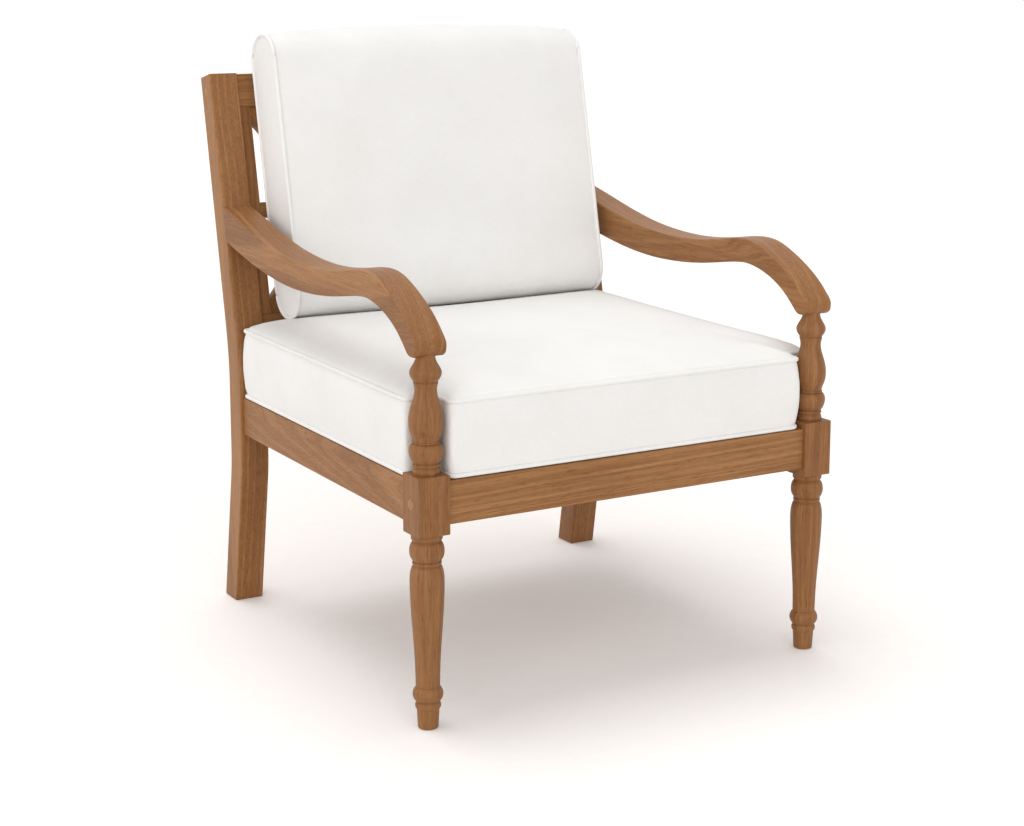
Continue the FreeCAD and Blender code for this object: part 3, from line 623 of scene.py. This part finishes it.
dress("back_rail", ALONG_X, (0.8, 0.2, 0.1))
dress("lower_back_rail", ALONG_X, (0.5, 0.3, 0.1))
dress("mid_back_rail", ALONG_X, (0.6, 0.27, 0.4))
for number, side in enumerate(("left", "right")):
    dress(f"{side}_back_stile", RAKED_UP, (0.2 + 0.3 * number, 0.1, 0.3))
    dress(f"{side}_seat_cleat", ALONG_Y, (0.4, 0.2 + 0.2 * number, 0.1))
for number in range(8):
    strut = f"lattice_strut_{number + 1}"
    low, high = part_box(strut)
    span = Vector(high) - Vector(low)
    # in each of the two rows, the struts run up to the right and to the left by turns
    if (number // 2 % 2 == 0) != (number % 2 == 0):
        span.x = -span.x
    dress(strut, span.normalized(), (0.2 + 0.07 * number, 0.3, 0.1 * number))
    dress(f"seat_slat_{number + 1}", ALONG_X, (0.3 + 0.11 * number, 0.2, 0.1 * number), 0.01 * (number % 3))
nodes["frame_bolts"].data.materials.clear()
nodes["frame_bolts"].data.materials.append(brushed_steel("brushed_steel"))


# Cushions: covers that are blown up as cloth, with round welts on their seams.

FABRIC = woven("woven_cover")
WELT = 3.3
WELT_SEGMENTS = 12
SEAM_STEP = 4
VOXEL = 6
PRESSURE = 4.0
SWELL_FRAMES = 20
# In metres: the cloth is held in full close to a seam, and free beyond the reach.
SEAM_REACH = 0.011
SEAM_FADE = 0.006


def voxel_mesh(name, shape):
    """An even mesh over a closed shape in millimetres."""
    rough = bpy.data.objects.new(name, to_mesh(name, shape))
    scene.collection.objects.link(rough)
    remesh = rough.modifiers.new("even", "REMESH")
    remesh.mode = "VOXEL"
    remesh.voxel_size = VOXEL
    graph = bpy.context.evaluated_depsgraph_get()
    mesh = bpy.data.meshes.new_from_object(rough.evaluated_get(graph))
    bpy.data.objects.remove(rough)
    return mesh


def blown_up(name, mesh, seams):
    """The mesh of a closed cover after a cloth simulation under pressure; both are in metres."""
    nearest = KDTree(len(seams))
    for index, point in enumerate(seams):
        nearest.insert(point / MM_PER_METRE, index)
    nearest.balance()
    cover = bpy.data.objects.new(name, mesh)
    scene.collection.objects.link(cover)
    held = cover.vertex_groups.new(name="seams")
    for vertex in mesh.vertices:
        distance = nearest.find(vertex.co)[2]
        held.add([vertex.index], max(0.0, min(1.0, (SEAM_REACH - distance) / SEAM_FADE)), "REPLACE")
    cloth = cover.modifiers.new("cloth", "CLOTH")
    cloth.settings.vertex_group_mass = "seams"
    cloth.settings.use_pressure = True
    cloth.settings.uniform_pressure_force = PRESSURE
    cloth.settings.effector_weights.gravity = 0
    cloth.settings.quality = 5
    cloth.point_cache.frame_start = 1
    cloth.point_cache.frame_end = SWELL_FRAMES
    for number in range(1, SWELL_FRAMES + 1):
        scene.frame_set(number)
    graph = bpy.context.evaluated_depsgraph_get()
    blown = bpy.data.meshes.new_from_object(cover.evaluated_get(graph))
    scene.frame_set(1)
    bpy.data.objects.remove(cover)
    return blown


def swell(name, mesh, seams, cap, keep):
    """Blow up a closed cover in millimetres by at most a cap; keep then trims each point."""
    for vertex in mesh.vertices:
        vertex.co /= MM_PER_METRE
    rest = [vertex.co.copy() for vertex in mesh.vertices]
    mesh = blown_up(name, mesh, seams)
    for vertex, start in zip(mesh.vertices, rest):
        way = (vertex.co - start) * MM_PER_METRE
        if way.length > cap:
            way *= cap / way.length
        vertex.co = keep(start * MM_PER_METRE + way)
    for polygon in mesh.polygons:
        polygon.use_smooth = True
    return mesh


def piping(name, loops, body):
    """Round welts along closed seam lines, as one mesh."""
    nearly_upright = 0.3
    shape = bmesh.new()
    for loop in loops:
        rings = []
        for before, point, after in neighbours(loop):
            way = (after - before).normalized()
            side = way.cross(ALONG_Z)
            if side.length < nearly_upright:
                side = way.cross(ALONG_X)
            side.normalize()
            rise = side.cross(way)
            rings.append([shape.verts.new(point + WELT * (side * math.cos(a) + rise * math.sin(a)))
                          for a in around(WELT_SEGMENTS)])
        skin(shape, rings + rings[:1])
    return finished(name, to_mesh(name, shape, sharp=80), body, FABRIC)


def spaced(outline):
    """Points at an even step along a closed outline."""
    points = []
    for start, end in zip(outline, outline[1:] + outline[:1]):
        count = max(1, round((end - start).length / SEAM_STEP))
        points += [start.lerp(end, i / count) for i in range(count)]
    return points


def eased(value, limit, span=4.0):
    """A value that nears its upper limit softly over the last span."""
    over = value - (limit - span)
    return value if over <= 0 else limit - span * math.exp(-over / span)


def smooth_cover(piece):
    finer = piece.modifiers.new("finer", "SUBSURF")
    finer.levels = 1
    finer.render_levels = 1


# Back cushion, given in the leaning plane of the back: a section that runs from end to end.

BACK_FOOT = 57
BACK_HEAD = 525
BACK_END = 284
BACK_FRONT = -115
BACK_REAR = -20
BACK_RADIUS = 46.5
FRONT_SWELL = 12
REAR_SWELL = 24
# Share of the swell in the middle, and how much lower the head is at the ends.
BACK_SHARE = 0.9
SHOULDER_DROP = 9
BACK_CAP = 20
# Room that the swollen cover has past those lines, and how deep it may lean back to the lattice.
ROOM_FRONT = 22.0
ROOM_HEAD = 6
ROOM_END = 3.0
LATTICE_DEPTH = 7.4
# Height at which the foot stands on the seat at its ends, and how much higher it stands in the middle.
STAND_Z = 477.4
STAND_CROWN = 5.5
STAND_SPAN = 290


def back_section(inset, swell_share):
    """Section of the back cushion in (depth, rise), round at the head and the foot."""
    front = BACK_FRONT + inset - FRONT_SWELL * swell_share
    rear = BACK_REAR - inset + REAR_SWELL * swell_share
    low = BACK_FOOT + inset
    high = BACK_HEAD - inset - SHOULDER_DROP * (1 - swell_share / BACK_SHARE)
    corners = ((front, low), (rear, low), (rear, high), (front, high))
    return rounded([(depth, rise, BACK_RADIUS - inset) for depth, rise in corners], steps=12)


def back_room(point):
    """A point of the back cushion kept clear of the lattice and the arms, and on the seat cushion."""
    y = point.y - POST_Y
    z = point.z - BEND_Z
    depth = y * math.cos(RAKE) - z * math.sin(RAKE)
    rise = y * math.sin(RAKE) + z * math.cos(RAKE)
    depth = max(BACK_FRONT - ROOM_FRONT, min(depth, LATTICE_DEPTH))
    rise = max(BACK_FOOT, min(rise, BACK_HEAD + ROOM_HEAD))
    point = raked(max(-BACK_END - ROOM_END, min(BACK_END + ROOM_END, point.x)), depth, rise)
    point.z = -eased(-point.z, -STAND_Z - STAND_CROWN * (1 - (point.x / STAND_SPAN) ** 2), span=3)
    return point


def back_cushion():
    """Make the back cushion, and return its cover for the seat cushion to be dented by."""
    # x, inset and share of the swell of each section, from the left end to the middle
    stations = [(-BACK_END + 1.5, 5, 0), (-BACK_END + WELT, WELT, 0), (-BACK_END + 14, 3, 0.1),
                (-BACK_END * 0.8, 3, 0.5), (-BACK_END * 0.5, 3, 0.8), (-BACK_END * 0.2, 3, BACK_SHARE)]
    stations += [(-x, inset, share) for x, inset, share in reversed(stations)]
    shape = bmesh.new()
    rings = [[shape.verts.new(raked(x, p.x, p.y)) for p in back_section(inset, share)]
             for x, inset, share in stations]
    closed_skin(shape, rings)
    mesh = voxel_mesh("back_cover", shape)
    line = spaced(back_section(WELT, 0))
    loops = [[raked(sign * (BACK_END - WELT), p.x, p.y) for p in line] for sign in (-1, 1)]
    mesh = swell("back_cover", mesh, loops[0] + loops[1], BACK_CAP, back_room)
    cover = BVHTree.FromPolygons([vertex.co.copy() for vertex in mesh.vertices],
                                 [polygon.vertices for polygon in mesh.polygons])
    piece = finished("back_cushion_cover", mesh, "back_cushion", FABRIC, ["back_cushion"])
    smooth_cover(piece)
    piping("back_cushion_piping", loops, "back_cushion")
    return cover


# Seat cushion: a boxed cushion whose front is a tongue between the legs, with a wing behind each leg.

SEAT_BASE = 350.6
SEAT_LOW_SEAM = 354.2
SEAT_TOP_SEAM = 457
GUSSET_BULGE = 5
# The seams in plan, and how much the top seam climbs from the front to the back.
SEAM_TONGUE_X = 294.5
SEAM_SIDE_X = 340.5
SEAM_FRONT_Y = -370.5
SEAM_WING_Y = -327
SEAM_REAR_Y = 243
SEAT_CLIMB = 3.5
# Height of the crown over the seam, and how far in it is full.
CROWN_HEIGHT = 28
CROWN_REACH = 140
CROWN_INSETS = (2, 6, 14, 28, 50, 75, 105, 140)
SEAT_CAP = 18
# Room that the swollen cover has, and which of its points are the tongue's and the wings'.
ROOM_SIDE_X = 346.8
ROOM_FRONT_Y = -377
ROOM_REAR_Y = 246.6
ROOM_TOP_Z = 493
TONGUE_Y = -328.5
TONGUE_REACH = 320
ROOM_TONGUE_X = 298.6
WING_REACH = 303
ROOM_WING_Y = -331.4
# Dent under the back cushion: its least depth, and what is added inside the ends, more so lower down.
DENT_LEAST = 1.2
DENT_INSIDE = 2.2
DENT_GAIN = 0.9
DENT_FROM_Z = 489
DENT_FADE = 30
# Height from which the underside of the back cushion is sought.
UNDER_BACK_Z = 400


def seat_plan(inset):
    """Plan of the seat cushion, notched round the front legs, as a closed outline in (x, y)."""
    right = [
        (SEAM_TONGUE_X - inset, SEAM_FRONT_Y + inset, 11),
        (SEAM_TONGUE_X - inset, SEAM_WING_Y + inset, 7),
        (SEAM_SIDE_X - inset, SEAM_WING_Y + inset, 10),
        (SEAM_SIDE_X - inset, SEAM_REAR_Y - inset, 8),
    ]
    return rounded(right + [(-x, y, radius) for x, y, radius in reversed(right)], steps=6)


def seat_crown(inset):
    return CROWN_HEIGHT * math.sqrt(1 - max(0, 1 - inset / CROWN_REACH) ** 2)


def climbing(x, y, z):
    """A point of the seat cushion, whose top climbs a little from the front to the back."""
    share = max(0, min(1, (z - SEAT_LOW_SEAM) / (SEAT_TOP_SEAM - SEAT_LOW_SEAM)))
    return Vector((x, y, z + SEAT_CLIMB * share * (y - SEAM_FRONT_Y) / (SEAM_REAR_Y - SEAM_FRONT_Y)))


def seat_cushion(back_cover):
    """Make the seat cushion; back_cover is the cushion that stands on its rear edge."""
    # inset and height of each level, from the base over the bulging gusset to the crown
    levels = [(4, SEAT_BASE), (0, SEAT_LOW_SEAM), (-GUSSET_BULGE / 2, SEAT_LOW_SEAM + 14),
              (-GUSSET_BULGE, SEAT_LOW_SEAM + 40), (-GUSSET_BULGE, SEAT_TOP_SEAM - 40),
              (-GUSSET_BULGE / 2, SEAT_TOP_SEAM - 14), (0, SEAT_TOP_SEAM)]
    levels += [(inset, SEAT_TOP_SEAM + seat_crown(inset)) for inset in CROWN_INSETS]
    shape = bmesh.new()
    rings = [[shape.verts.new(climbing(p.x, p.y, z)) for p in seat_plan(inset)] for inset, z in levels]
    closed_skin(shape, rings)
    mesh = voxel_mesh("seat_cover", shape)
    line = spaced(seat_plan(0))
    loops = [[climbing(p.x, p.y, z) for p in line] for z in (SEAT_LOW_SEAM, SEAT_TOP_SEAM)]

    def seat_room(point):
        """A point kept flat on the slats, clear of the legs and posts, and under the back cushion."""
        side = math.copysign(1, point.x)
        reach = abs(point.x)
        if point.y < TONGUE_Y and reach < TONGUE_REACH:
            reach = eased(reach, ROOM_TONGUE_X, span=3)
        elif reach > WING_REACH:
            point.y = -eased(-point.y, -ROOM_WING_Y, span=3)
        point.x = side * eased(reach, ROOM_SIDE_X)
        point.y = -eased(-point.y, -ROOM_FRONT_Y)
        point.y = eased(point.y, ROOM_REAR_Y, span=2)
        point.z = max(SEAT_BASE, eased(point.z, ROOM_TOP_Z, span=6))
        if point.z > SEAT_TOP_SEAM:
            contact = back_cover.ray_cast(Vector((point.x, point.y, UNDER_BACK_Z)), ALONG_Z)[0]
            if contact:
                hidden = min(1, max(0, (BACK_END - abs(point.x)) / DENT_FADE))
                dent = DENT_LEAST + hidden * (DENT_INSIDE + DENT_GAIN * max(0, DENT_FROM_Z - contact.z))
                point.z = min(point.z, contact.z - dent)
        return point

    mesh = swell("seat_cover", mesh, loops[0] + loops[1], SEAT_CAP, seat_room)
    piece = finished("seat_cushion_cover", mesh, "seat_cushion", FABRIC, ["seat_cushion"])
    smooth_cover(piece)
    piping("seat_cushion_piping", loops, "seat_cushion")


seat_cushion(back_cushion())


# Floor, light and camera.

FLOOR_SIZE = 60
FLOOR_Z = -0.0005
FLOOR_TONES = [(0.3, (0.865, 0.835, 0.811)), (0.7, (0.885, 0.855, 0.831))]
FLOOR_GLOW = 0.14
WORLD_LIGHT = 0.56
# Name, strength, angle of spread in degrees and way of each soft light.
SUNS = [
    ("above", 1.25, 45, (0.04, -0.26, -1)),
    ("front", 1.28, 70, (0.35, 0.85, -0.35)),
    ("side", 0.68, 60, (0.9, -0.1, -0.2)),
]
CAMERA_PLACE = (-1.49859, -2.6344, 1.032)
CAMERA_DOWN = 9.95317
CAMERA_TURN = -29.85575


def seen_rays(tree):
    """One for what the camera sees, straight or by a mirror or glass, and zero for light on the object."""
    rays = tree.nodes.new("ShaderNodeLightPath").outputs
    straight = math_node(tree, "MAXIMUM", rays["Is Camera Ray"], rays["Is Glossy Ray"])
    return math_node(tree, "MAXIMUM", straight, rays["Is Transmission Ray"])


def lay_floor():
    bpy.ops.mesh.primitive_plane_add(size=FLOOR_SIZE, location=(0, 0, FLOOR_Z))
    floor = bpy.context.object
    floor.name = "floor"
    material, tree, output, place = start_material("pale_floor")
    paper = noise(tree, place, (40, 40, 40), detail=3.0)
    diffuse = add(tree, "ShaderNodeBsdfDiffuse", {"Color": ramp(tree, paper, FLOOR_TONES)})
    strength = math_node(tree, "MULTIPLY", seen_rays(tree), FLOOR_GLOW)
    glow = add(tree, "ShaderNodeEmission", {"Color": (1, 0.99, 0.985, 1), "Strength": strength})
    both = add(tree, "ShaderNodeAddShader", {0: diffuse.outputs[0], 1: glow.outputs[0]})
    tree.links.new(both.outputs[0], output.inputs[0])
    floor.data.materials.append(material)


def light_up():
    world = bpy.data.worlds.new("studio")
    scene.world = world
    world.use_nodes = True
    tree = world.node_tree
    tree.nodes.clear()
    strength = add(tree, "ShaderNodeMapRange", {"Value": seen_rays(tree), "To Min": WORLD_LIGHT,
                                                "To Max": 1.0})
    light = add(tree, "ShaderNodeBackground", {"Color": (1, 1, 1, 1), "Strength": strength.outputs[0]})
    output = tree.nodes.new("ShaderNodeOutputWorld")
    tree.links.new(light.outputs[0], output.inputs[0])
    for name, energy, angle, way in SUNS:
        lamp = bpy.data.lights.new(name, "SUN")
        lamp.energy = energy
        lamp.angle = math.radians(angle)
        holder = bpy.data.objects.new(name, lamp)
        holder.rotation_euler = Vector(way).to_track_quat("-Z", "Y").to_euler()
        scene.collection.objects.link(holder)


def set_camera():
    lens = bpy.data.cameras.new("camera")
    lens.sensor_width = 36
    lens.lens = 68.751
    lens.shift_y = -0.1
    holder = bpy.data.objects.new("camera", lens)
    holder.location = CAMERA_PLACE
    holder.rotation_euler = (math.radians(90 - CAMERA_DOWN), 0, math.radians(CAMERA_TURN))
    scene.collection.objects.link(holder)
    scene.camera = holder
    scene.view_settings.view_transform = "Standard"


lay_floor()
light_up()
set_camera()
